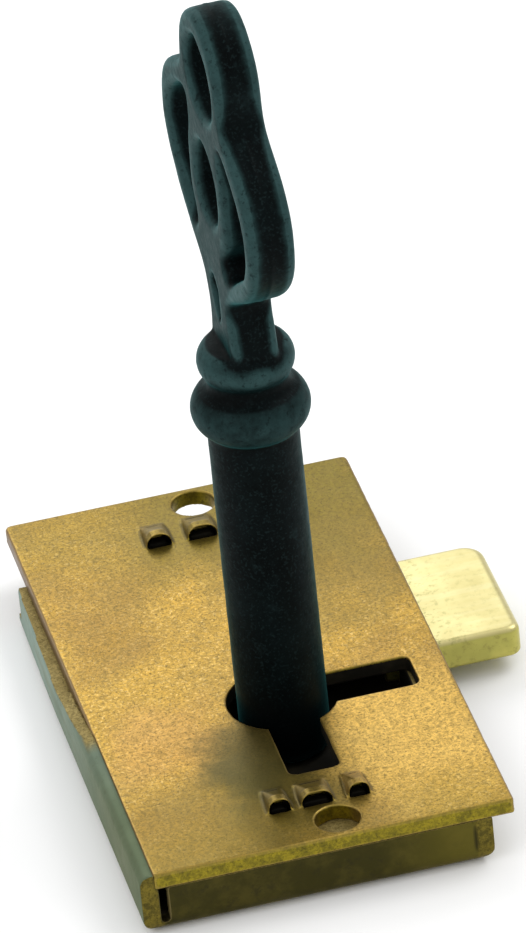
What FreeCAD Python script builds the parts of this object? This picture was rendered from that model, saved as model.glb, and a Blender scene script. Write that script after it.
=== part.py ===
import FreeCAD, Part
import math
import os

# A thin brass cabinet deadbolt with its iron barrel key. Millimetres.
# Origin: midway between the two screw holes, on the cover plate's underside.
# +X is the way the bolt throws, +Y is away from the keyhole, +Z is out of the case towards the key.

V = FreeCAD.Vector

# --- cover plate ---
PLATE_X0 = -16.87
PLATE_X1 = 14.88
PLATE_HALF_Y = 28.98
PLATE_T = 1.5
SCREW_Y = 26.325
SCREW_R = 1.92
REAR_CORNER_R = 0.6

# --- keyhole, centred on the key's axis ---
KEY_Y = -6.78
KEYHOLE_R = 4.85
SLOT_W = 4.48
SLOT_REACH = 11.83
SLOT_CORNER_R = 0.7

# --- lanced clinch: three raised louvres in a row near each end, each over a tongue of the case's lip ---
# each row is (y, [(left x, width), ...])
CLINCH_ROWS = [
    (-23.7, [(-5.5, 2.3), (-2.65, 3.2), (1.55, 2.2)]),
    (20.5, [(-5.8, 2.7), (-2.0, 3.1), (2.2, 2.2)]),
]
CLINCH_LENGTH = 3.7
CLINCH_FLAT = 0.9
CLINCH_RISE = 1.25
CLINCH_SKIN = 0.22
CLINCH_HOLE = 1.9
TONGUE_RISE = 1.3

# --- case pan ---
CASE_X0 = -18.05
CASE_X1 = 12.88
CASE_Y0 = -28.98
CASE_Y1 = 22.6
CASE_BOTTOM = -4.6
FLOOR_T = 1.25
WALL_T = 1.4
LEFT_WALL_T = 1.65
BEND_R = 1.6
LIP_T = 1.1
FRONT_LIP_END = -19.2
REAR_LIP_END = 19.4
CURL_END_Y = 4.0
CURL_FADE = 11.0
LEFT_SLIT_W = 0.75
RIGHT_SLIT_W = 0.45
LEFT_WALL_END_Y = 20.9
LEFT_WALL_TAPER = 0.5
SLIT_BOTTOM = -3.6
FLOOR_TOP = CASE_BOTTOM + FLOOR_T

# --- bolt, stored thrown ---
BOLT_X0 = -7.9
BOLT_X1 = 22.85
BOLT_Y0 = -1.48
BOLT_Y1 = 13.12
BOLT_Z0 = -3.1
BOLT_Z1 = -0.15
TALON_X0 = -3.3
TALON_X1 = 10.4
TALON_TOP_Y = 4.95
THROW = 8.0
STUD_X = -4.0
STUD_Y = 9.3
STUD_R = 1.5
STUD_GAP = 0.3

# --- key ---
# the bow lies this far round from +X; the bit stands out on the other side of the barrel
KEY_TURN_DEG = -87.0
BARREL_R = 3.98
BARREL_BOTTOM = -3.05
BORE_R = 2.05
BORE_TOP = 13.0
PIN_R = 2.0
PIN_TOP = 1.1
BIT_TIP_R = 11.1
BIT_T = 4.0
BIT_Z0 = -2.95
BIT_Z1 = -0.35
BOW_T = 4.2
BOW_SHIFT = 0.15
BOW_EDGE_R = 0.85
COLLAR_TOP = 37.9
LOWER_COLLAR_R = 5.2
WAIST_R = 3.65
UPPER_COLLAR_R = 4.25
BOW_CENTRE_H = 54.0
BOW_LEAN_DEG = 6.0

# --- wards ---
FLOOR_WARD_R = 7.5
FLOOR_WARD_H = 0.85
CAP_WARD_R = 9.9
CAP_WARD_H = 0.65
WARD_T = 0.8
WARD_GAP = 0.3

# --- friction spring ---
POST_X = -10.5
POST_Y = 16.6
POST_R = 1.2
SPRING_T = 0.45
SPRING_Z0 = -3.1
SPRING_Z1 = -1.4


def box(x0, x1, y0, y1, z0, z1):
    return Part.makeBox(x1 - x0, y1 - y0, z1 - z0, V(x0, y0, z0))


def cyl(x, y, z0, z1, r):
    return Part.makeCylinder(r, z1 - z0, V(x, y, z0))


def cut_all(shape, tools):
    for tool in tools:
        shape = shape.cut(tool)
    return shape


def vertical_edges(shape, x=None, y=None):
    found = []
    for e in shape.Edges:
        a = e.Vertexes[0].Point
        b = e.Vertexes[-1].Point
        upright = abs(a.x - b.x) < 1e-6 and abs(a.y - b.y) < 1e-6 and abs(a.z - b.z) > 1e-6
        if not upright:
            continue
        if x is not None and abs(a.x - x) > 1e-6:
            continue
        if y is not None and abs(a.y - y) > 1e-6:
            continue
        found.append(e)
    return found


def flat_edges_at(shape, z):
    found = []
    for e in shape.Edges:
        b = e.BoundBox
        if abs(b.ZMin - z) < 1e-6 and abs(b.ZMax - z) < 1e-6:
            found.append(e)
    return found


def long_edges_at(shape, length, z):
    # edges running along Y, longer than the given length, at one height
    found = []
    for e in shape.Edges:
        b = e.BoundBox
        if b.YLength > length and abs(b.ZMax - z) < 1e-6 and abs(b.ZMin - z) < 1e-6:
            found.append(e)
    return found


def slab(x0, x1, ya, yb, z0, z1):
    # a box whose two Y faces may be given in either order
    return box(x0, x1, min(ya, yb), max(ya, yb), z0, z1)


def arch_wire(x, width, y, z0, rise):
    # an upright arch: short sloping sides and a narrow crown with full, round shoulders
    lean = 0.15 * min(1.0, rise)
    half = width / 2
    corner = min(0.8 * rise, half - lean - 0.12)
    k = corner * 0.2929
    left_low = V(x - half, y, z0)
    left_high = V(x - half + lean, y, z0 + rise - corner)
    left_mid = V(x - half + lean + k, y, z0 + rise - k)
    left_top = V(x - half + lean + corner, y, z0 + rise)
    right_top = V(x + half - lean - corner, y, z0 + rise)
    right_mid = V(x + half - lean - k, y, z0 + rise - k)
    right_high = V(x + half - lean, y, z0 + rise - corner)
    right_low = V(x + half, y, z0)
    return Part.Wire([
        Part.makeLine(left_low, left_high),
        Part.Arc(left_high, left_mid, left_top).toShape(),
        Part.makeLine(left_top, right_top),
        Part.Arc(right_top, right_mid, right_high).toShape(),
        Part.makeLine(right_high, right_low),
        Part.makeLine(right_low, left_low),
    ])


def louvre(x0, width, y, inset):
    # open at its front end, flat for a short way, then sloping down into the plate
    x = x0 + width / 2
    w = width - 2 * inset
    base = PLATE_T - 0.1
    rise = CLINCH_RISE + 0.1 - inset
    end = y + CLINCH_LENGTH - inset
    wires = [
        arch_wire(x, w, y, base, rise),
        arch_wire(x, w, y + CLINCH_FLAT, base, rise),
        arch_wire(x, w - 0.5, end, base, 0.08),
    ]
    return Part.makeLoft(wires, True, True)


def louvre_hollow(x0, width, y):
    left = x0 + CLINCH_SKIN
    right = x0 + width - CLINCH_SKIN
    under = box(left, right, y - 0.02, y + CLINCH_HOLE, -1, PLATE_T)
    return louvre(x0, width, y - 0.02, CLINCH_SKIN).fuse(under)


def keyhole_cutter(z0, z1):
    half = SLOT_W / 2
    right = box(0, SLOT_REACH, KEY_Y - half, KEY_Y + half, z0, z1)
    right = right.makeFillet(SLOT_CORNER_R, vertical_edges(right, x=SLOT_REACH))
    front = box(-half, half, KEY_Y - SLOT_REACH, KEY_Y, z0, z1)
    front = front.makeFillet(SLOT_CORNER_R, vertical_edges(front, y=KEY_Y - SLOT_REACH))
    return cyl(0, KEY_Y, z0, z1, KEYHOLE_R).fuse(right).fuse(front)


def rolled_hole_rim(y, z, r, roll):
    # the rounded-over top edge that a punch leaves round a hole
    ring = Part.makeTorus(r + roll, roll, V(0, y, z - roll))
    collar = cyl(0, y, z - roll, z + 0.01, r + roll)
    return collar.cut(ring)


def make_cover_plate():
    plate = box(PLATE_X0, PLATE_X1, -PLATE_HALF_Y, PLATE_HALF_Y, 0, PLATE_T)
    plate = plate.makeFillet(REAR_CORNER_R, vertical_edges(plate, y=PLATE_HALF_Y))
    plate = plate.makeFillet(0.35, vertical_edges(plate, y=-PLATE_HALF_Y))
    plate = plate.makeFillet(0.3, flat_edges_at(plate, PLATE_T))
    for y, row in CLINCH_ROWS:
        for x0, width in row:
            plate = plate.fuse(louvre(x0, width, y, 0.0))
            plate = plate.cut(louvre_hollow(x0, width, y))
    for y in (-SCREW_Y, SCREW_Y):
        plate = plate.cut(cyl(0, y, -1, PLATE_T + 1, SCREW_R))
        plate = plate.cut(rolled_hole_rim(y, PLATE_T, SCREW_R, 0.15))
    plate = plate.cut(keyhole_cutter(-1, PLATE_T + 1))
    for x, y in cap_ward_tenons():
        plate = plate.cut(cyl(x, y, -1, PLATE_T - 0.5, 0.3))
    return plate


def folded_channel():
    # the sheet folded up along both long edges
    length = CASE_Y1 - CASE_Y0
    outer = box(CASE_X0, CASE_X1, CASE_Y0, CASE_Y1, CASE_BOTTOM, 0)
    outer = outer.makeFillet(BEND_R, long_edges_at(outer, length - 1, CASE_BOTTOM))
    inner = box(CASE_X0 + LEFT_WALL_T, CASE_X1 - WALL_T, CASE_Y0 - 1, CASE_Y1 + 1, FLOOR_TOP, 1)
    inner = inner.makeFillet(0.5, long_edges_at(inner, length, FLOOR_TOP))
    return outer.cut(inner)


def end_flange(y_outer, y_lip, sign):
    # an end panel folded up from the floor, with a lip folded in under the plate
    x0 = CASE_X0 + LEFT_WALL_T + LEFT_SLIT_W
    x1 = CASE_X1 - WALL_T - RIGHT_SLIT_W
    panel = slab(x0, x1, y_outer, y_outer + sign * WALL_T, FLOOR_TOP - 0.5, 0)
    lip = slab(x0, x1, y_outer, y_lip, -LIP_T, 0)
    return panel.fuse(lip)


def round_low_end_edges(pan):
    # the end panels bend out of the floor, so their lower outer edges are round
    for y, sign in ((CASE_Y0, 1), (CASE_Y1, -1)):
        inner_y = y + sign * BEND_R
        block = slab(CASE_X0 - 1, CASE_X1 + 1, y, inner_y, CASE_BOTTOM, CASE_BOTTOM + BEND_R)
        axis_start = V(CASE_X0 - 1, inner_y, CASE_BOTTOM + BEND_R)
        roller = Part.makeCylinder(BEND_R, CASE_X1 - CASE_X0 + 2, axis_start, V(1, 0, 0))
        pan = pan.cut(block.cut(roller))
    return pan


def left_wall_taper():
    # past the curl the left wall leans in a little towards its rear end
    z = CASE_BOTTOM - 1
    far_x = CASE_X0 + LEFT_WALL_TAPER
    points = [
        V(CASE_X0 - 1, CURL_END_Y, z), V(CASE_X0, CURL_END_Y, z), V(far_x, CASE_Y1, z),
        V(far_x, CASE_Y1 + 1, z), V(CASE_X0 - 1, CASE_Y1 + 1, z), V(CASE_X0 - 1, CURL_END_Y, z),
    ]
    return Part.Face(Part.makePolygon(points)).extrude(V(0, 0, -CASE_BOTTOM + 2))


def left_curl():
    # at the front the left wall is curled up past the plate's edge, level with its top;
    # the curl fades out towards the rear
    inner_x = PLATE_X0 - 0.04
    top = PLATE_T - 0.05
    curl = box(CASE_X0, inner_x, CASE_Y0, CURL_END_Y, -0.4, top)
    top_outer = [e for e in long_edges_at(curl, 5, top) if abs(e.BoundBox.XMax - CASE_X0) < 1e-6]
    curl = curl.makeFillet(0.95, top_outer)
    x = CASE_X0 - 1
    fade_y = CURL_END_Y - CURL_FADE
    ramp = [
        V(x, fade_y, top), V(x, CURL_END_Y, -0.02), V(x, CURL_END_Y + 0.1, -0.02),
        V(x, CURL_END_Y + 0.1, top + 0.1), V(x, fade_y, top + 0.1), V(x, fade_y, top),
    ]
    return curl.cut(Part.Face(Part.makePolygon(ramp)).extrude(V(4, 0, 0)))


def lip_tongues(y, row):
    # strips of the lip pushed up into the plate's louvres, which is what holds the plate on
    tongues = []
    gap = CLINCH_SKIN + 0.1
    for x0, width in row:
        tongue = box(x0 + gap, x0 + width - gap, y + 0.8, y + CLINCH_HOLE - 0.1, -0.1, TONGUE_RISE)
        tongues.append(tongue.makeFillet(0.45, long_edges_at(tongue, 0.5, TONGUE_RISE)))
    return tongues


def make_case_pan():
    pan = folded_channel()
    pan = pan.fuse(end_flange(CASE_Y0, FRONT_LIP_END, 1))
    pan = pan.fuse(end_flange(CASE_Y1, REAR_LIP_END, -1))
    for y0, y1 in ((CASE_Y0 - 1, CASE_Y0 + WALL_T), (CASE_Y1 - WALL_T, CASE_Y1 + 1)):
        wall_inner = CASE_X0 + LEFT_WALL_T
        left = box(wall_inner, wall_inner + LEFT_SLIT_W, y0, y1, SLIT_BOTTOM, 1)
        right = box(CASE_X1 - WALL_T - RIGHT_SLIT_W, CASE_X1 - WALL_T, y0, y1, SLIT_BOTTOM, 1)
        pan = pan.cut(left).cut(right)
    pan = round_low_end_edges(pan)
    pan = pan.cut(left_wall_taper())
    slit_x = CASE_X0 + LEFT_WALL_T + LEFT_SLIT_W
    pan = pan.cut(box(CASE_X0 - 1, slit_x, LEFT_WALL_END_Y, CASE_Y1 + 1, SLIT_BOTTOM, 1))
    pan = pan.fuse(left_curl())
    for y, row in CLINCH_ROWS:
        for tongue in lip_tongues(y, row):
            pan = pan.fuse(tongue)
    gap = 0.25
    window = box(CASE_X1 - WALL_T - 0.6, CASE_X1 + 1, BOLT_Y0 - gap, BOLT_Y1 + gap, FLOOR_TOP, 1)
    pan = pan.cut(window)
    tools = [
        cyl(0, KEY_Y, CASE_BOTTOM - 1, FLOOR_TOP + 1, 1.5),
        cyl(STUD_X, STUD_Y, CASE_BOTTOM - 1, FLOOR_TOP + 1, 1.1),
        cyl(POST_X, POST_Y, CASE_BOTTOM - 1, FLOOR_TOP + 1, 0.9),
    ]
    for x, y in floor_ward_tenons():
        tools.append(cyl(x, y, CASE_BOTTOM - 1, FLOOR_TOP + 1, 0.35))
    pan = cut_all(pan, tools)
    return pan.removeSplitter()


def make_bolt():
    bolt = box(BOLT_X0, BOLT_X1, BOLT_Y0, BOLT_Y1, BOLT_Z0, BOLT_Z1)
    rear_end = [e for e in vertical_edges(bolt, x=BOLT_X1, y=BOLT_Y1)]
    bolt = bolt.makeFillet(2.0, rear_end)
    front_end = [e for e in vertical_edges(bolt, x=BOLT_X1, y=BOLT_Y0)]
    bolt = bolt.makeFillet(1.1, front_end)
    bolt = bolt.makeFillet(0.6, vertical_edges(bolt, x=BOLT_X0))
    bolt = bolt.makeFillet(0.6, flat_edges_at(bolt, BOLT_Z1))
    bolt = bolt.makeFillet(0.4, flat_edges_at(bolt, BOLT_Z0))
    talon = box(TALON_X0, TALON_X1, BOLT_Y0 - 1, TALON_TOP_Y, BOLT_Z0 - 1, BOLT_Z1 + 1)
    talon = talon.makeFillet(0.8, vertical_edges(talon, y=TALON_TOP_Y))
    half = STUD_R + STUD_GAP
    x0 = STUD_X - STUD_GAP
    x1 = STUD_X + THROW + STUD_GAP
    slot = box(x0, x1, STUD_Y - half, STUD_Y + half, BOLT_Z0 - 1, BOLT_Z1 + 1)
    for x in (x0, x1):
        slot = slot.fuse(cyl(x, STUD_Y, BOLT_Z0 - 1, BOLT_Z1 + 1, half))
    return cut_all(bolt, [talon, slot]).removeSplitter()


def riveted_pin(x, y, r, tail_r, z_top, tip_r):
    # a shouldered pin: the thin tail goes through the floor and is riveted over flush
    body = cyl(x, y, FLOOR_TOP, z_top, r)
    top = [e for e in body.Edges if abs(e.BoundBox.ZMin - z_top) < 1e-6]
    body = body.makeFillet(tip_r, top)
    return body.fuse(cyl(x, y, CASE_BOTTOM, FLOOR_TOP, tail_r))


def arc_band(r, t, z0, z1, a0, a1):
    # a curved wall about the key's axis, between two angles in degrees
    ring = Part.makeCylinder(r + t / 2, z1 - z0, V(0, 0, z0), V(0, 0, 1), a1 - a0)
    ring = ring.cut(Part.makeCylinder(r - t / 2, z1 - z0 + 2, V(0, 0, z0 - 1)))
    ring.rotate(V(0, 0, 0), V(0, 0, 1), a0)
    ring.translate(V(0, KEY_Y, 0))
    return ring


def polar(r, deg):
    return (r * math.cos(math.radians(deg)), KEY_Y + r * math.sin(math.radians(deg)))


def floor_ward_tenons():
    return [polar(FLOOR_WARD_R, a) for a in (-200, -90, 20)]


def cap_ward_tenons():
    return [polar(CAP_WARD_R, a) for a in (-62, -28)]


def make_floor_ward():
    ward = arc_band(FLOOR_WARD_R, WARD_T, FLOOR_TOP, FLOOR_TOP + FLOOR_WARD_H, -210, 30)
    for x, y in floor_ward_tenons():
        ward = ward.fuse(cyl(x, y, CASE_BOTTOM, FLOOR_TOP + 0.1, 0.35))
    return ward


def make_cap_ward():
    ward = arc_band(CAP_WARD_R, WARD_T, -CAP_WARD_H, 0, -70, -20)
    for x, y in cap_ward_tenons():
        ward = ward.fuse(cyl(x, y, -0.1, PLATE_T - 0.5, 0.3))
    return ward


def smooth_loop(points):
    # a closed curve through points (s, h) in the bow's plane
    curve = Part.BSplineCurve()
    curve.interpolate([V(s, 0, h) for s, h in points], PeriodicFlag=True)
    return Part.Wire([curve.toShape()])


def mirrored(points):
    # points run from the top of the axis down the right side; the left side is their mirror image
    left = [(-s, h) for s, h in reversed(points) if s > 1e-6]
    return points + left


def extrude_loop(wire, t):
    face = Part.Face(wire)
    solid = face.extrude(V(0, t, 0))
    solid.translate(V(0, -t / 2, 0))
    return solid


# Bow outlines: distance from the key's axis, then height above the plate's underside.
BOW_OUTER = [
    (0.0, 70.9), (2.7, 70.1), (4.8, 67.9), (5.6, 65.2), (6.0, 63.2), (7.4, 61.9), (9.6, 60.6),
    (11.8, 58.4), (12.8, 55.3), (12.4, 51.9), (10.3, 48.7), (7.6, 46.3), (5.0, 44.5), (3.4, 43.0),
    (3.2, 41.2), (3.4, 39.4), (3.6, 37.6), (3.0, 36.0),
]
TOP_HOLE = [(0.0, 68.5), (2.0, 67.7), (3.3, 65.8), (3.4, 63.9), (2.2, 61.8), (0.0, 61.0)]
CENTRE_HOLE = [(0.0, 57.6), (2.0, 56.7), (2.9, 54.6), (2.7, 52.2), (1.6, 50.7), (0.0, 50.2)]
TEAR_HOLE = [(0.0, 44.5), (0.85, 43.8), (0.75, 42.3), (0.35, 40.9), (0.0, 40.4)]
SIDE_HOLE = [
    (5.0, 60.1), (6.6, 59.6), (9.0, 57.9), (10.6, 55.6), (10.6, 52.8), (9.0, 50.2), (6.6, 48.1),
    (4.6, 46.9), (3.8, 47.6), (4.6, 50.1), (5.1, 53.3), (4.8, 56.5), (4.4, 58.9),
]


def leaned(points):
    # the casting leans a little: the bow is turned about its centre, easing off into the neck
    out = []
    for s, h in points:
        ease = min(1.0, max(0.0, (h - 39.5) / 8.0))
        a = math.radians(BOW_LEAN_DEG) * ease * ease * (3 - 2 * ease)
        up = h - BOW_CENTRE_H
        turned_s = s * math.cos(a) + up * math.sin(a)
        turned_h = BOW_CENTRE_H + up * math.cos(a) - s * math.sin(a)
        out.append((turned_s, turned_h))
    return out


def make_bow():
    bow = extrude_loop(smooth_loop(leaned(mirrored(BOW_OUTER))), BOW_T)
    loops = [mirrored(TOP_HOLE), mirrored(CENTRE_HOLE), mirrored(TEAR_HOLE)]
    loops.append(SIDE_HOLE)
    loops.append([(-s, h) for s, h in SIDE_HOLE])
    for points in loops:
        bow = bow.cut(extrude_loop(smooth_loop(leaned(points)), BOW_T + 2))
    rims = []
    for e in bow.Edges:
        b = e.BoundBox
        on_face = abs(abs(b.YMin) - BOW_T / 2) < 1e-6 and b.YLength < 1e-6
        small = b.ZLength < 6
        if on_face and not small:
            rims.append(e)
    bow = bow.makeFillet(BOW_EDGE_R, rims)
    tear = []
    for e in bow.Edges:
        b = e.BoundBox
        on_face = abs(abs(b.YMin) - BOW_T / 2) < 1e-6 and b.YLength < 1e-6
        if on_face and b.ZLength < 5 and b.ZMax < 46:
            tear.append(e)
    bow = bow.makeFillet(0.3, tear)
    bow.translate(V(0, BOW_SHIFT, 0))
    return bow


def make_shank():
    # revolved barrel, lower collar, waist and upper collar
    p = [
        V(0, 0, BARREL_BOTTOM), V(BARREL_R - 0.3, 0, BARREL_BOTTOM), V(BARREL_R, 0, BARREL_BOTTOM + 0.3),
        V(BARREL_R, 0, 29.5), V(4.35, 0, 29.8),
    ]
    edges = [Part.makeLine(a, b) for a, b in zip(p[:-1], p[1:])]
    edges.append(Part.Arc(p[-1], V(LOWER_COLLAR_R, 0, 31.65), V(4.3, 0, 33.5)).toShape())
    edges.append(Part.Arc(V(4.3, 0, 33.5), V(WAIST_R, 0, 34.2), V(3.75, 0, 35.0)).toShape())
    edges.append(Part.Arc(V(3.75, 0, 35.0), V(UPPER_COLLAR_R, 0, 36.4), V(3.5, 0, COLLAR_TOP)).toShape())
    edges.append(Part.makeLine(V(3.5, 0, COLLAR_TOP), V(0, 0, COLLAR_TOP + 0.5)))
    edges.append(Part.makeLine(V(0, 0, COLLAR_TOP + 0.5), p[0]))
    return Part.Face(Part.Wire(edges)).revolve(V(0, 0, 0), V(0, 0, 1), 360)


def make_bit():
    half = BIT_T / 2
    bit = box(2.6, BIT_TIP_R, -half, half, BIT_Z0, BIT_Z1)
    bit = bit.makeFillet(0.5, vertical_edges(bit, x=BIT_TIP_R))
    low = WARD_T / 2 + WARD_GAP
    side = half + 1
    over_floor = FLOOR_TOP + FLOOR_WARD_H + WARD_GAP
    under_cap = -CAP_WARD_H - WARD_GAP
    floor_cut = box(FLOOR_WARD_R - low, FLOOR_WARD_R + low, -side, side, BIT_Z0 - 1, over_floor)
    cap_cut = box(CAP_WARD_R - low, CAP_WARD_R + low, -side, side, under_cap, BIT_Z1 + 1)
    bit = bit.cut(floor_cut).cut(cap_cut)
    bit.rotate(V(0, 0, 0), V(0, 0, 1), 180)
    return bit


def make_key():
    key = make_shank().fuse(make_bow())
    key = key.fuse(make_bit())
    bore = Part.makeCylinder(BORE_R, BORE_TOP - BARREL_BOTTOM + 1, V(0, 0, BARREL_BOTTOM - 1))
    tip = Part.makeCone(BORE_R, 0, 1.2, V(0, 0, BORE_TOP))
    key = key.cut(bore.fuse(tip))
    key.rotate(V(0, 0, 0), V(0, 0, 1), KEY_TURN_DEG)
    key.translate(V(0, KEY_Y, 0))
    return key


def make_friction_spring():
    # the leaf bows towards the bolt, runs along its rear edge and turns away again
    middle = [
        (POST_X + 1.1, 17.9), (-6.0, 18.2), (-1.5, 16.3), (2.0, 13.95),
        (4.5, 13.5), (7.0, 14.1), (9.4, 15.9),
    ]
    curve = Part.BSplineCurve()
    curve.interpolate([V(x, y, SPRING_Z0) for x, y in middle])
    near = []
    far = []
    steps = 24
    for i in range(steps + 1):
        u = curve.FirstParameter + (curve.LastParameter - curve.FirstParameter) * i / steps
        p = curve.value(u)
        t = curve.tangent(u)[0]
        side = V(-t.y, t.x, 0) * (SPRING_T / 2)
        near.append(p - side)
        far.append(p + side)
    low = Part.BSplineCurve()
    low.interpolate(near)
    high = Part.BSplineCurve()
    high.interpolate(far)
    tip = Part.makeLine(near[-1], far[-1])
    root = Part.makeLine(far[0], near[0])
    wire = Part.Wire([low.toShape(), tip, high.toShape(), root])
    leaf = Part.Face(wire).extrude(V(0, 0, SPRING_Z1 - SPRING_Z0))
    eye = cyl(POST_X, POST_Y, SPRING_Z0, SPRING_Z1, POST_R + 0.05 + SPRING_T + 0.15)
    spring = leaf.fuse(eye)
    return spring.cut(cyl(POST_X, POST_Y, SPRING_Z0 - 1, SPRING_Z1 + 1, POST_R + 0.05))


def save(name, shape):
    if shape.ShapeType != "Solid" and len(shape.Solids) == 1:
        shape = shape.Solids[0]
    shape.exportStep("parts/" + name + ".step")
    b = shape.BoundBox
    print(name, "valid", shape.isValid(), "solids", len(shape.Solids), "volume", round(shape.Volume, 1),
          "box", [round(v, 2) for v in (b.XMin, b.XMax, b.YMin, b.YMax, b.ZMin, b.ZMax)])


os.makedirs("parts", exist_ok=True)
save("cover_plate", make_cover_plate())
save("case_pan", make_case_pan())
save("bolt", make_bolt())
save("key", make_key())
save("drill_pin", riveted_pin(0, KEY_Y, PIN_R, 1.5, PIN_TOP, 0.8))
save("guide_stud", riveted_pin(STUD_X, STUD_Y, STUD_R, 1.1, -0.05, 0.2))
save("spring_post", riveted_pin(POST_X, POST_Y, POST_R, 0.9, -0.9, 0.3))
save("floor_ward", make_floor_ward())
save("cap_ward", make_cap_ward())
save("friction_spring", make_friction_spring())
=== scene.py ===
import math

import bpy
import numpy as np
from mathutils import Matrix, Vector, noise


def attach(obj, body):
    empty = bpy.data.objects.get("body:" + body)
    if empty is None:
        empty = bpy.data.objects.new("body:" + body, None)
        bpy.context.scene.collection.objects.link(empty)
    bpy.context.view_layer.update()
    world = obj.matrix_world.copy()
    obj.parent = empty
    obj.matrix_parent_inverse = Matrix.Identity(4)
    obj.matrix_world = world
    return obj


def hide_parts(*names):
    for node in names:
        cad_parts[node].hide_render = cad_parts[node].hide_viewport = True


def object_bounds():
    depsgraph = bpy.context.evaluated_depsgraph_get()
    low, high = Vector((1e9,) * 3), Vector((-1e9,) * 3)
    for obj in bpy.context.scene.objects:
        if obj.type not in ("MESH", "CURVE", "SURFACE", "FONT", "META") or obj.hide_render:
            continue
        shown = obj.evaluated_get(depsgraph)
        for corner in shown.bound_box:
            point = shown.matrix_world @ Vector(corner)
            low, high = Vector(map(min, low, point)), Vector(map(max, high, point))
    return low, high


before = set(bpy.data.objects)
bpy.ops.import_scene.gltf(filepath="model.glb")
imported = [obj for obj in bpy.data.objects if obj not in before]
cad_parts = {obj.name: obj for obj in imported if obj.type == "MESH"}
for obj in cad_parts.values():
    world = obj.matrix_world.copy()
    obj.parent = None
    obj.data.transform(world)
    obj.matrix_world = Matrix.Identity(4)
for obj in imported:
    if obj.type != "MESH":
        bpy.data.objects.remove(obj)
CAD_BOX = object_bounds()

MM = 0.001

# the key: where it stands, how its bow is turned, and how rough the casting is
KEY_Y = -6.78 * MM
BOW_TURN = math.radians(-87.0)
BOW_FOOT = 38.5 * MM
CAST_SWELL = 0.022 * MM
CAST_GRAIN = 0.007 * MM
PARTING_HEIGHT = 0.03 * MM
PARTING_WIDTH = 0.13 * MM
PARTING_WANDER = 0.12 * MM

# the sheet brass: how far its faces wave, and how ragged its sheared edges are
SHEET_WAVE = 0.012 * MM
SHEET_RIPPLE = 0.004 * MM
SHEAR_RAGGED = 0.02 * MM
BOLT_WAVE = 0.008 * MM

# the louvres of the plate, in mm: each row's front y, then the centre and half width of each louvre
LOUVRE_ROWS = [
    (-23.7, [(-4.35, 1.15), (-1.05, 1.6), (2.65, 1.1)]),
    (20.5, [(-4.45, 1.35), (-0.45, 1.55), (3.3, 1.1)]),
]
LOUVRE_LENGTH = 3.6
LOUVRE_SPRING = 1.2
LOUVRE_THINNED = 0.10 * MM

# the curl along the top of the pan's left wall
CURL_X = -16.7 * MM
CURL_FOOT = 0.05 * MM
CURL_PRESSED = 0.16 * MM

# spaces behind the plate that get the painted shade of the inside, in mm: x from and to, y from and to, z
# from and to
PAN_HOLLOW = (-16.4, 11.6, -27.7, 21.3, -3.5, -0.3)
PAN_UNDER_LIPS = (-16.4, 11.6, -24.2, 22.5, -0.4, 1.4)
KEYHOLE_SIDES = (-5.3, 12.3, -19.1, -1.4, -0.2, 1.3)


# ---------- fine meshes over the CAD nodes ----------

def read(mesh):
    """Points, normals and edges of a mesh as arrays."""
    count = len(mesh.vertices)
    points = np.empty(count * 3)
    normals = np.empty(count * 3)
    edges = np.empty(len(mesh.edges) * 2, dtype=np.int64)
    mesh.vertices.foreach_get("co", points)
    mesh.vertex_normals.foreach_get("vector", normals)
    mesh.edges.foreach_get("vertices", edges)
    return points.reshape(-1, 3), normals.reshape(-1, 3), edges.reshape(-1, 2)


def curvature(points, normals, edges, rounds):
    """How far each point stands out of its smoothed surroundings: edges above zero, hollows below."""
    count = len(points)
    a, b = edges[:, 0], edges[:, 1]
    valence = np.maximum(np.bincount(edges.ravel(), minlength=count), 1)
    soft = points.copy()
    for _ in range(rounds):
        total = np.empty_like(points)
        for axis in range(3):
            column = soft[:, axis]
            total[:, axis] = np.bincount(a, column[b], count) + np.bincount(b, column[a], count)
        soft = total / valence[:, None]
    return ((points - soft) * normals).sum(axis=1)


def lumps(points, size, seed):
    """Smooth noise from -1 to 1 at each point, with features of about this size in metres."""
    scaled = points / size + seed
    return np.array([noise.noise(Vector(p)) for p in scaled])


def refined(node_name, name, body, voxel, soften, shape, keep, wear_rounds=10, wear_depth=0.05 * MM):
    """A dense copy of a CAD node, eased at its edges and given the unevenness of the real sheet or casting.

    It is kept inside the CAD node's own box, and thinned to this share of its faces at the end. The point
    attributes "worn" and "hollow" hold how far each place stands out or lies back, from 0 to 1.
    """
    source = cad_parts[node_name]
    mesh = source.data.copy()
    mesh.transform(source.matrix_world)
    solid = read(mesh)[0]
    ob = bpy.data.objects.new(name, mesh)
    bpy.context.scene.collection.objects.link(ob)
    remesh = ob.modifiers.new("remesh", "REMESH")
    remesh.mode = "VOXEL"
    remesh.voxel_size = voxel
    remesh.use_smooth_shade = True
    ease = ob.modifiers.new("ease", "SMOOTH")
    ease.factor = 0.5
    ease.iterations = soften
    dense = bpy.data.meshes.new_from_object(ob.evaluated_get(bpy.context.evaluated_depsgraph_get()))
    ob.modifiers.clear()
    ob.data = dense
    dense.materials.clear()
    points, normals, edges = read(dense)
    bend = curvature(points, normals, edges, wear_rounds)
    points = points + normals * shape(points, normals)[:, None]
    points = np.clip(points, solid.min(axis=0), solid.max(axis=0))
    dense.vertices.foreach_set("co", points.ravel())
    for label, value in (("worn", bend / wear_depth), ("hollow", -bend / wear_depth)):
        layer = dense.attributes.new(label, "FLOAT", "POINT")
        layer.data.foreach_set("value", np.clip(value, 0.0, 1.0))
    dense.update()
    thin = ob.modifiers.new("thin", "DECIMATE")
    thin.ratio = keep
    light = bpy.data.meshes.new_from_object(ob.evaluated_get(bpy.context.evaluated_depsgraph_get()))
    ob.modifiers.clear()
    ob.data = light
    light.polygons.foreach_set("use_smooth", np.ones(len(light.polygons), dtype=bool))
    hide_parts(node_name)
    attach(ob, body)
    return ob


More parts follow.
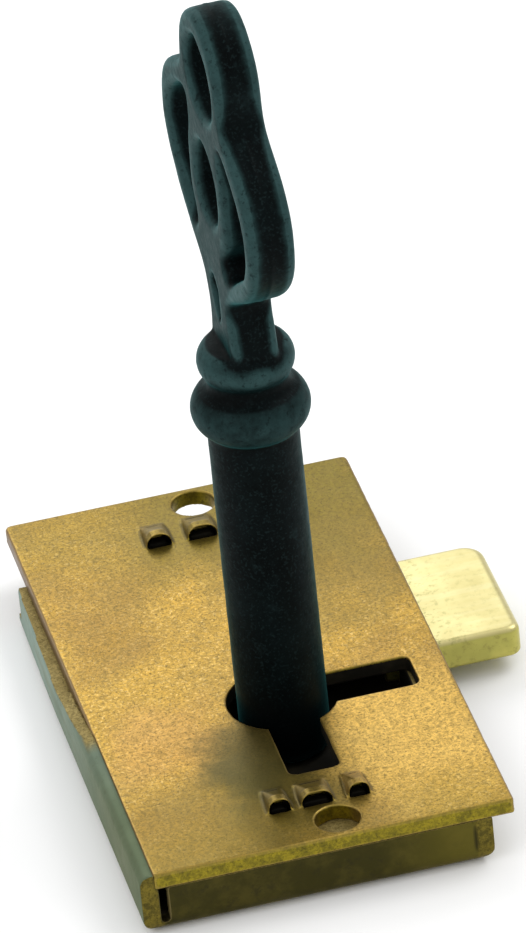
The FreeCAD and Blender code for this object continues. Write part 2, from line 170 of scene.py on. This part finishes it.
def casting(points, normals):
    """The key: sand-cast unevenness, with the mould's parting line left standing round the bow."""
    swell = -CAST_SWELL * (1 + lumps(points, 2.2 * MM, 3.1))
    inward = swell - CAST_GRAIN * (1 + lumps(points, 0.55 * MM, 8.7))
    across = (-math.sin(BOW_TURN), math.cos(BOW_TURN))
    side = points[:, 0] * across[0] + (points[:, 1] - KEY_Y) * across[1]
    side = side + PARTING_WANDER * lumps(points, 6 * MM, 5.5)
    flat = normals[:, 0] * across[0] + normals[:, 1] * across[1]
    on_rim = (np.abs(flat) < 0.5) & (points[:, 2] > BOW_FOOT)
    ridge = np.exp(-(side / PARTING_WIDTH) ** 2)
    return np.where(on_rim, inward * (1 - ridge) - PARTING_HEIGHT * (1 - ridge), inward)


def pressed_sheet(points, normals):
    """Sheet brass: a faint wave in its faces and a slightly ragged edge where it was sheared."""
    wave = -SHEET_WAVE * (1 + lumps(points, 9 * MM, 1.3)) - SHEET_RIPPLE * (1 + lumps(points, 1.3 * MM, 6.2))
    sheared = (np.abs(normals[:, 2]) < 0.85) & (points[:, 2] > 0.2 * MM)
    return np.where(sheared, wave - SHEAR_RAGGED * (1 + lumps(points, 0.6 * MM, 4.4)), wave)


def under_louvres(points, normals):
    """True on the inner faces of the raised louvres: those that face the middle of the hollow."""
    x, y, z = (points[:, axis] / MM for axis in range(3))
    found = np.zeros(len(points), dtype=bool)
    for front, row in LOUVRE_ROWS:
        for centre, half in row:
            near = (np.abs(x - centre) < half + 0.1) & (z > -0.2)
            near &= (y > front - 0.3) & (y < front + LOUVRE_LENGTH)
            above = np.maximum(z - LOUVRE_SPRING, 0.0)
            found |= near & (normals[:, 0] * (x - centre) + normals[:, 2] * above < -0.02)
    return found


def cover_sheet(points, normals):
    """The plate: sheared sheet, with the lanced louvres drawn thinner than the rest."""
    return np.where(under_louvres(points, normals), -LOUVRE_THINNED, pressed_sheet(points, normals))


def folded_sheet(points, normals):
    """The pan: as the plate, but the curl of its left wall is pressed up against the plate's edge."""
    curl_inside = (points[:, 2] > CURL_FOOT) & (points[:, 0] < CURL_X) & (normals[:, 0] > 0.3)
    return np.where(curl_inside, CURL_PRESSED, pressed_sheet(points, normals))


def drawn_bar(points, normals):
    """The bolt: nearly true, rubbed smooth."""
    return -BOLT_WAVE * (1 + lumps(points, 5 * MM, 2.6))


KEY = refined("key", "key_casting", "key", 0.16 * MM, 8, casting, 0.45, 40, 0.14 * MM)
COVER = refined("cover_plate", "cover_sheet", "case", 0.12 * MM, 2, cover_sheet, 0.22)
PAN = refined("case_pan", "pan_sheet", "case", 0.18 * MM, 2, folded_sheet, 0.35)
BOLT = refined("bolt", "bolt_bar", "bolt", 0.16 * MM, 2, drawn_bar, 0.4)


# ---------- material helpers ----------

class Nodes:
    """A short way to write a node tree: add() makes a node, sets its inputs and links what it is given."""

    def __init__(self, name):
        self.mat = bpy.data.materials.new(name)
        self.mat.use_nodes = True
        self.tree = self.mat.node_tree
        self.tree.nodes.clear()
        self.out = self.tree.nodes.new("ShaderNodeOutputMaterial")
        self.shader = self.tree.nodes.new("ShaderNodeBsdfPrincipled")
        self.tree.links.new(self.shader.outputs[0], self.out.inputs[0])
        self.coord = self.tree.nodes.new("ShaderNodeTexCoord")

    def put(self, socket, value):
        if isinstance(value, bpy.types.NodeSocket):
            self.tree.links.new(value, socket)
        elif isinstance(value, (tuple, list)) and len(value) == 3 and len(socket.default_value) == 4:
            socket.default_value = (*value, 1.0)
        else:
            socket.default_value = value

    def add(self, kind, settings=None, out=0, **inputs):
        node = self.tree.nodes.new(kind)
        for key, value in (settings or {}).items():
            setattr(node, key, value)
        for key, value in inputs.items():
            index = int(key[1:]) if key[0] == "i" and key[1:].isdigit() else key.replace("_", " ")
            self.put(node.inputs[index], value)
        return node.outputs[out]

    def noise(self, scale, detail, rough, stretch=None, turn=(0, 0, 0)):
        """Noise over the object's own space: scale 1000 gives features of about 1 mm."""
        vector = self.coord.outputs["Object"]
        if stretch:
            vector = self.add("ShaderNodeMapping", i0=vector, Rotation=turn, Scale=stretch)
        return self.add("ShaderNodeTexNoise", Vector=vector, Scale=scale, Detail=detail, Roughness=rough)

    def ramp(self, value, low, high):
        """0 below low, 1 above high, smooth between; low may be the larger one."""
        return self.add("ShaderNodeMapRange", {"interpolation_type": "SMOOTHSTEP"}, i0=value, i1=low, i2=high)

    def spread(self, value, low, high):
        """A noise value spread between two numbers."""
        return self.add("ShaderNodeMapRange", i0=value, i1=0.3, i2=0.7, i3=low, i4=high)

    def times(self, a, b):
        return self.add("ShaderNodeMath", {"operation": "MULTIPLY", "use_clamp": True}, i0=a, i1=b)

    def plus(self, a, b):
        return self.add("ShaderNodeMath", {"operation": "ADD"}, i0=a, i1=b)

    def size(self, value):
        return self.add("ShaderNodeMath", {"operation": "ABSOLUTE"}, i0=value)

    def mix(self, factor, a, b):
        """Colour a where the factor is 0, colour b where it is 1."""
        node = self.tree.nodes.new("ShaderNodeMix")
        node.data_type = "RGBA"
        self.put(node.inputs[0], factor)
        self.put(node.inputs[6], a)
        self.put(node.inputs[7], b)
        return node.outputs[2]

    def axis(self, name, source="Object"):
        node = self.tree.nodes.new("ShaderNodeSeparateXYZ")
        self.tree.links.new(self.coord.outputs[source], node.inputs[0])
        return node.outputs["XYZ".index(name)]

    def attribute(self, name):
        return self.add("ShaderNodeAttribute", {"attribute_name": name}, out=2)

    def spot(self, x, y, inner, outer):
        """1 within inner mm of a place on the XY plane, 0 beyond outer mm, with a wandering border."""
        flat = self.add("ShaderNodeMapping", i0=self.coord.outputs["Object"], Scale=(1, 1, 0))
        place = (x * MM, y * MM, 0)
        away = self.add("ShaderNodeVectorMath", {"operation": "DISTANCE"}, out=1, i0=flat, i1=place)
        wander = self.spread(self.noise(110, 4, 0.6), -3.5 * MM, 3.5 * MM)
        return self.ramp(self.plus(away, wander), outer * MM, inner * MM)

    def bump(self, height, strength, distance, normal=None):
        inputs = {"Height": height, "Strength": strength, "Distance": distance}
        if normal:
            inputs["Normal"] = normal
        return self.add("ShaderNodeBump", **inputs)

    def set(self, **values):
        for key, value in values.items():
            self.put(self.shader.inputs[key.replace("_", " ")], value)
        return self.mat


def shade(colour, k):
    return tuple(c * k for c in colour)


# ---------- materials ----------

def speckled(n, colour, dark, amount=1.0):
    """Soft close mottling with fine dark dots, as lacquered brass gets with age."""
    mottle = n.noise(2700, 6, 0.8)
    streak = n.noise(1500, 5, 0.75, stretch=(1.0, 0.45, 1.0), turn=(0, 0, 0.6))
    dots = n.noise(4600, 3, 0.6)
    colour = n.mix(n.times(n.ramp(mottle, 0.42, 0.62), 0.60 * amount), colour, dark)
    colour = n.mix(n.times(n.ramp(streak, 0.48, 0.68), 0.30 * amount), colour, dark)
    return n.mix(n.times(n.ramp(dots, 0.55, 0.66), 0.65 * amount), colour, shade(dark, 0.6))


# patches on the plate: x, y, radius where it is full, radius where it ends (mm), strength, colour
OLIVE = (0.175, 0.140, 0.016)
PLATE_PATCHES = [
    # painted reflection of the dark key: the olive patch beside the keyhole's front slot
    (-3.0, -19.0, 3.0, 12.0, 0.65, OLIVE),
    (8.0, 26.0, 7.0, 20.0, 0.90, OLIVE),
    (-9.0, 28.0, 5.0, 20.0, 0.40, OLIVE),
    (8.0, 9.0, 2.0, 11.0, 0.30, OLIVE),
    (12.0, 12.0, 4.0, 17.0, 0.40, (0.250, 0.165, 0.030)),
    (-4.0, 25.0, 4.0, 16.0, 0.30, (0.250, 0.175, 0.030)),
    (-13.5, 16.0, 1.0, 8.0, 0.30, (0.300, 0.165, 0.040)),
    (-10.5, -11.0, 1.0, 8.0, 0.55, (0.600, 0.330, 0.085)),
    (-11.0, -26.0, 4.0, 14.0, 0.65, (0.225, 0.142, 0.020)),
    # painted pool of light: the bright gold patch at the front right
    (9.5, -15.0, 6.0, 16.0, 0.75, (0.720, 0.455, 0.100)),
]
# painted reflection of the dark key: dark patches over the speckle, beside the keyhole's front slot and round
# the front louvres
PLATE_KEY_REFLECTION = [
    (-3.6, -16.5, 1.0, 7.0, 0.55, (0.095, 0.080, 0.012)),
    (-3.2, -13.6, 2.6, 7.5, 0.70, (0.060, 0.052, 0.011)),
    (-1.5, -22.0, 1.5, 6.5, 0.40, (0.110, 0.090, 0.014)),
]
PLATE_MID_X = -1.0 * MM
PLATE_EDGE_NEAR = 14.8 * MM
PLATE_EDGE_FULL = 15.3 * MM


def patched(n, colour, patches):
    for x, y, inner, outer, strength, patch in patches:
        colour = n.mix(n.times(n.spot(x, y, inner, outer), strength), colour, patch)
    return colour


def plate_brass():
    """The cover plate: mottled tan and gold, with olive patches, a painted pool of light at the front right,
    a painted dark reflection of the key round the keyhole's front slot, painted shade in its hollows, and
    red-brown long edges.
    """
    n = Nodes("plate_brass")
    cloud = n.noise(230, 5, 0.6)
    wide = n.noise(75, 3, 0.5)
    grain = n.noise(1400, 4, 0.7)
    fleck = n.noise(620, 5, 0.7)
    colour = n.mix(n.ramp(cloud, 0.36, 0.66), (0.40, 0.246, 0.040), (0.58, 0.355, 0.056))
    colour = n.mix(n.times(n.ramp(fleck, 0.46, 0.66), 0.4), colour, (0.76, 0.485, 0.096))
    rubbed = n.times(n.ramp(n.noise(3600, 3, 0.6), 0.54, 0.66), n.spread(cloud, 0.35, 0.75))
    colour = n.mix(rubbed, colour, (0.84, 0.60, 0.22))
    colour = n.mix(n.times(n.ramp(wide, 0.48, 0.64), 0.55), colour, (0.270, 0.155, 0.032))
    colour = patched(n, colour, PLATE_PATCHES)
    colour = n.mix(n.times(n.ramp(grain, 0.50, 0.66), 0.40), colour, (0.23, 0.155, 0.032))
    colour = speckled(n, colour, (0.125, 0.088, 0.018))
    # painted reflection of the dark key, laid over the speckle
    colour = patched(n, colour, PLATE_KEY_REFLECTION)

    border = n.plus(n.axis("Y"), n.times(n.ramp(wide, 0.3, 0.7), 4 * MM))
    front = n.ramp(border, -19.5 * MM, -28.5 * MM)
    colour = n.mix(n.times(front, 0.35), colour, OLIVE)
    side_x = n.ramp(n.size(n.axis("X", "Normal")), 0.25, 0.7)
    from_middle = n.size(n.plus(n.axis("X"), -PLATE_MID_X))
    long_edge = n.times(side_x, n.ramp(from_middle, PLATE_EDGE_NEAR, PLATE_EDGE_FULL))
    colour = n.mix(n.times(long_edge, 0.85), colour, (0.135, 0.080, 0.045))
    cut = n.ramp(n.axis("Y", "Normal"), -0.45, -0.85)
    cut_colour = n.mix(n.ramp(grain, 0.40, 0.66), (0.310, 0.245, 0.016), (0.17, 0.140, 0.012))
    colour = n.mix(cut, colour, speckled(n, cut_colour, (0.055, 0.044, 0.010), 0.7))

    # painted shade: the deeper hollows darkened towards dark brown
    colour = n.mix(n.times(n.ramp(n.attribute("hollow"), 0.5, 1.0), 0.6), colour, (0.045, 0.035, 0.010))
    colour = n.mix(n.times(n.ramp(n.attribute("worn"), 0.6, 1.0), 0.25), colour, (0.50, 0.34, 0.10))
    underside = n.ramp(n.axis("Z", "Normal"), -0.4, -0.8)
    colour = n.mix(underside, colour, (0.13, 0.105, 0.035))
    normal = n.bump(grain, 0.30, 0.05 * MM)
    normal = n.bump(n.noise(3300, 3, 0.6), 0.25, 0.03 * MM, normal)
    return n.set(Base_Color=colour, Metallic=0.85, Roughness=n.spread(cloud, 0.34, 0.48), Normal=normal)


def case_brass():
    """The folded pan: blue-grey left wall, dark olive front, yellow-olive where the sheet was cut."""
    n = Nodes("case_brass")
    cloud = n.noise(240, 5, 0.6)
    grain = n.noise(1400, 4, 0.7)
    wipe = n.noise(420, 4, 0.6, stretch=(1.0, 0.12, 1.0))
    x = n.axis("X")
    y = n.axis("Y")
    faces_x = n.axis("X", "Normal")
    faces_y = n.axis("Y", "Normal")
    faces_z = n.axis("Z", "Normal")
    colour = n.mix(n.ramp(cloud, 0.35, 0.7), (0.30, 0.24, 0.10), (0.22, 0.19, 0.08))

    wall = n.mix(n.ramp(y, -22 * MM, 16 * MM), (0.100, 0.132, 0.078), (0.225, 0.305, 0.280))
    wall = n.mix(n.times(n.ramp(wipe, 0.48, 0.68), 0.5), wall, (0.13, 0.165, 0.120))
    wall = n.mix(n.times(n.ramp(grain, 0.56, 0.70), 0.35), wall, (0.075, 0.085, 0.05))
    on_wall = n.ramp(x, -16.3 * MM, -16.6 * MM)
    colour = n.mix(n.times(n.ramp(faces_x, -0.25, -0.75), on_wall), colour, wall)
    colour = n.mix(n.ramp(faces_x, 0.4, 0.9), colour, (0.20, 0.18, 0.075))

    panel = n.mix(n.ramp(wipe, 0.40, 0.70), (0.040, 0.035, 0.008), (0.066, 0.055, 0.012))
    panel = n.mix(n.times(n.ramp(grain, 0.52, 0.68), 0.5), panel, (0.028, 0.025, 0.010))
    panel = n.mix(n.times(n.ramp(x, 2 * MM, 11 * MM), 0.55), panel, (0.150, 0.125, 0.018))
    end_cut = n.mix(n.ramp(grain, 0.42, 0.64), (0.20, 0.155, 0.024), (0.105, 0.085, 0.016))
    end_cut = speckled(n, end_cut, (0.045, 0.036, 0.010), 0.8)
    front = n.mix(n.ramp(x, -16.0 * MM, -16.3 * MM), panel, end_cut)
    front = n.mix(n.ramp(x, 11.2 * MM, 11.5 * MM), front, end_cut)
    colour = n.mix(n.ramp(faces_y, -0.35, -0.75), colour, front)

    top_cut = n.mix(n.ramp(grain, 0.4, 0.65), (0.34, 0.265, 0.100), (0.24, 0.185, 0.065))
    top_cut = speckled(n, top_cut, (0.12, 0.09, 0.03))
    curl_top = n.mix(n.times(on_wall, n.ramp(y, -6.8 * MM, -9.2 * MM)), top_cut, wall)
    colour = n.mix(n.ramp(faces_z, 0.55, 0.85), colour, curl_top)
    # painted shade: hollows darkened to near black
    colour = n.mix(n.times(n.attribute("hollow"), 0.9), colour, (0.02, 0.018, 0.008))
    below = n.mix(n.ramp(cloud, 0.38, 0.66), (0.25, 0.21, 0.09), (0.17, 0.15, 0.07))
    colour = n.mix(n.ramp(faces_z, -0.5, -0.9), colour, speckled(n, below, (0.07, 0.06, 0.025)))
    return n.set(Base_Color=colour, Metallic=0.5, Roughness=n.spread(cloud, 0.45, 0.62),
                 Specular_IOR_Level=0.1, Specular_Tint=(1.0, 0.95, 0.7),
                 Normal=n.bump(grain, 0.30, 0.05 * MM))


def painted_inside_shade():
    """Inside the case: painted shade, brass painted nearly black with a faint mottle."""
    n = Nodes("case_inside")
    inside_mottle = n.noise(500, 4, 0.6)
    colour = n.mix(n.ramp(inside_mottle, 0.4, 0.7), (0.010, 0.009, 0.006), (0.022, 0.018, 0.010))
    return n.set(Base_Color=colour, Metallic=0.1, Roughness=n.spread(inside_mottle, 0.55, 0.75),
                 Specular_IOR_Level=0.15, Normal=n.bump(inside_mottle, 0.3, 0.08 * MM))


def bright_brass():
    """The bolt: lighter and paler on top, darker and greener on its sides, as painted light; specked near the
    case, with faint draw lines and painted shade in its hollows.
    """
    n = Nodes("bolt_brass")
    cloud = n.noise(170, 4, 0.6)
    draw = n.noise(900, 3, 0.6, stretch=(0.06, 1.0, 1.0))
    spots = n.noise(1700, 4, 0.7)
    colour = n.mix(n.ramp(cloud, 0.38, 0.7), (0.64, 0.57, 0.265), (0.56, 0.49, 0.205))
    near_case = n.plus(n.times(n.ramp(n.axis("X"), 19.5 * MM, 13.5 * MM), 0.75), 0.2)
    colour = n.mix(n.times(n.ramp(spots, 0.50, 0.68), near_case), colour, (0.25, 0.25, 0.070))
    colour = n.mix(n.times(n.ramp(draw, 0.45, 0.7), 0.3), colour, (0.69, 0.64, 0.37))
    # painted light: the top painted light and pale where it reflects the bright surroundings, the sides
    # darker and greener as painted shade
    side = n.ramp(n.axis("Z", "Normal"), 0.75, 0.25)
    side_colour = n.mix(n.ramp(cloud, 0.4, 0.65), (0.50, 0.455, 0.110), (0.385, 0.36, 0.085))
    side_colour = n.mix(n.times(n.ramp(spots, 0.52, 0.68), 0.45), side_colour, (0.20, 0.18, 0.05))
    colour = n.mix(side, colour, side_colour)
    # painted shade: hollows darkened
    colour = n.mix(n.times(n.attribute("hollow"), 0.8), colour, (0.10, 0.08, 0.02))
    normal = n.bump(draw, 0.10, 0.04 * MM)
    normal = n.bump(spots, 0.12, 0.04 * MM, normal)
    return n.set(Base_Color=colour, Metallic=0.8, Roughness=n.spread(cloud, 0.26, 0.38), Normal=normal)


def dark_iron():
    """The key: blackened casting with sand pits and a dull sheen, blue-green where its edges are rubbed, with
    a painted highlight on its tightest edges and painted shade in its hollows and low down in the keyhole.
    """
    n = Nodes("key_iron")
    cloud = n.noise(150, 4, 0.6)
    pits = n.noise(1500, 5, 0.68)
    sand = n.noise(4200, 2, 0.5)
    scuff = n.noise(650, 5, 0.7)
    worn = n.attribute("worn")
    # near black, for the sand pits and for the painted shade in the hollows
    soot_and_shade = (0.001, 0.0015, 0.0016)
    colour = n.mix(n.ramp(cloud, 0.35, 0.7), (0.0010, 0.0020, 0.0021), (0.0026, 0.0056, 0.0060))
    # edges lightened blue-green: rubbed wear, with a painted highlight added on the tightest edges
    rubbed = n.times(n.ramp(worn, 0.35, 1.0), n.spread(scuff, 0.15, 0.75))
    colour = n.mix(rubbed, colour, (0.030, 0.074, 0.074))
    colour = n.mix(n.times(n.ramp(worn, 0.80, 1.0), 0.25), colour, (0.060, 0.130, 0.130))
    colour = n.mix(n.times(n.ramp(scuff, 0.54, 0.72), 0.40), colour, (0.010, 0.021, 0.022))
    colour = n.mix(n.times(n.ramp(sand, 0.54, 0.68), 0.35), colour, (0.014, 0.028, 0.029))
    colour = n.mix(n.times(n.ramp(pits, 0.54, 0.70), 0.65), colour, soot_and_shade)
    # painted shade: hollows darkened to near black
    colour = n.mix(n.times(n.attribute("hollow"), 0.85), colour, soot_and_shade)
    # painted shade: the key darkened to black low down, inside the keyhole
    in_keyhole = n.ramp(n.axis("Z"), 6 * MM, 1.5 * MM)
    colour = n.mix(n.times(in_keyhole, 0.9), colour, (0.0008, 0.0010, 0.0010))
    normal = n.bump(pits, 0.30, 0.06 * MM)
    normal = n.bump(sand, 0.25, 0.03 * MM, normal)
    return n.set(Base_Color=colour, Metallic=0.0, Roughness=n.spread(pits, 0.42, 0.60),
                 Specular_IOR_Level=0.035, Sheen_Weight=0.15, Sheen_Roughness=0.32,
                 Sheen_Tint=(0.16, 0.80, 0.80), Normal=normal)


def turned_steel(name, base, rough=0.35):
    """Small steel parts: fine rings from turning and oil stains."""
    n = Nodes(name)
    rings = n.noise(700, 3, 0.6, stretch=(1.0, 1.0, 6.0))
    stain = n.noise(400, 4, 0.6)
    colour = n.mix(n.ramp(stain, 0.4, 0.7), base, shade(base, 0.5))
    return n.set(Base_Color=colour, Metallic=0.85, Roughness=n.spread(rings, rough - 0.08, rough + 0.1),
                 Normal=n.bump(rings, 0.2, 0.04 * MM))


def ward_brass():
    """The wards: plain brass painted nearly black, the same painted shade as the case's inside."""
    n = Nodes("ward_brass")
    stain = n.noise(600, 4, 0.6)
    # painted shade: the wards mottled between two near-black browns
    colour = n.mix(n.ramp(stain, 0.38, 0.62), (0.030, 0.025, 0.012), (0.012, 0.010, 0.006))
    return n.set(Base_Color=colour, Metallic=0.6, Roughness=n.spread(stain, 0.42, 0.6),
                 Normal=n.bump(stain, 0.25, 0.05 * MM))


def paint(ob, material):
    ob.data.materials.clear()
    ob.data.materials.append(material)


def paint_inside(ob, material, spaces, also=None):
    """A second material on the faces whose centres lie in a space, or that the test in also picks."""
    mesh = ob.data
    mesh.materials.append(material)
    centres = np.empty(len(mesh.polygons) * 3)
    normals = np.empty(len(mesh.polygons) * 3)
    mesh.polygons.foreach_get("center", centres)
    mesh.polygons.foreach_get("normal", normals)
    centres = centres.reshape(-1, 3)
    inside = np.zeros(len(centres), dtype=bool)
    for limits in spaces:
        low = np.array(limits[0::2]) * MM
        high = np.array(limits[1::2]) * MM
        inside |= np.all((centres > low) & (centres < high), axis=1)
    if also:
        inside |= also(centres, normals.reshape(-1, 3))
    mesh.polygons.foreach_set("material_index", inside.astype(np.int32))
    mesh.update()


paint(KEY, dark_iron())
paint(COVER, plate_brass())
paint(PAN, case_brass())
paint(BOLT, bright_brass())

INSIDE = painted_inside_shade()
# painted shade: faces inside the pan, round the keyhole's sides and under the louvres are painted nearly
# black
paint_inside(PAN, INSIDE, [PAN_HOLLOW, PAN_UNDER_LIPS])
paint_inside(COVER, INSIDE, [KEYHOLE_SIDES], under_louvres)

PIN = turned_steel("pin_steel", (0.30, 0.30, 0.29))
WARDS = ward_brass()
SMALL_PARTS = {
    "drill_pin": PIN,
    "guide_stud": PIN,
    "spring_post": PIN,
    "floor_ward": WARDS,
    "cap_ward": WARDS,
    "friction_spring": turned_steel("spring_steel", (0.16, 0.19, 0.26), 0.3),
}
for node_name, material in SMALL_PARTS.items():
    paint(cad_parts[node_name], material)


# ---------- floor, light, camera ----------

FLOOR_Z = CAD_BOX[0][2] - 0.02 * MM
FLOOR_SIZE = 6.0


def make_floor():
    bpy.ops.mesh.primitive_plane_add(size=FLOOR_SIZE, location=(0, 0, FLOOR_Z))
    floor = bpy.context.object
    floor.name = "floor"
    n = Nodes("floor_pale")
    tone = n.noise(3, 2, 0.5)
    colour = n.mix(tone, (0.93, 0.93, 0.93), (0.95, 0.95, 0.95))
    floor.data.materials.append(n.set(Base_Color=colour, Roughness=0.9, Specular_IOR_Level=0.2))


def area_light(name, location, target, size, power):
    """A round soft light: places and size in metres, power in watts."""
    data = bpy.data.lights.new(name, "AREA")
    data.shape = "DISK"
    data.size = size
    data.energy = power
    light = bpy.data.objects.new(name, data)
    bpy.context.scene.collection.objects.link(light)
    light.location = location
    light.rotation_euler = (Vector(target) - Vector(location)).to_track_quat("-Z", "Y").to_euler()


make_floor()
area_light("key_light", (0.45, 0.10, 0.60), (0, 0, 0.02), 0.45, 1.9)
area_light("back_light", (-0.10, 0.60, 0.45), (0, 0, 0.02), 0.60, 1.6)
area_light("fill_light", (-0.45, -0.25, 0.45), (0, 0, 0.03), 0.50, 0.7)

world = bpy.data.worlds.new("studio")
world.use_nodes = True
background = world.node_tree.nodes["Background"]
background.inputs["Color"].default_value = (1, 1, 1, 1)
background.inputs["Strength"].default_value = 0.80
bpy.context.scene.world = world

CAMERA_PLACE = (-0.12181, -0.65942, 0.44653)
CAMERA_TURN = (57.4527, 5.2241, -13.7728)
camera_data = bpy.data.cameras.new("camera")
camera_data.lens = 356.2
camera_data.sensor_width = 36.0
camera_data.shift_x = 0.0243
camera_data.shift_y = 0.0016
camera_data.clip_start = 0.05
camera_data.clip_end = 10.0
camera = bpy.data.objects.new("camera", camera_data)
bpy.context.scene.collection.objects.link(camera)
camera.location = CAMERA_PLACE
camera.rotation_euler = tuple(math.radians(angle) for angle in CAMERA_TURN)
bpy.context.scene.camera = camera
bpy.context.scene.view_settings.view_transform = "Standard"
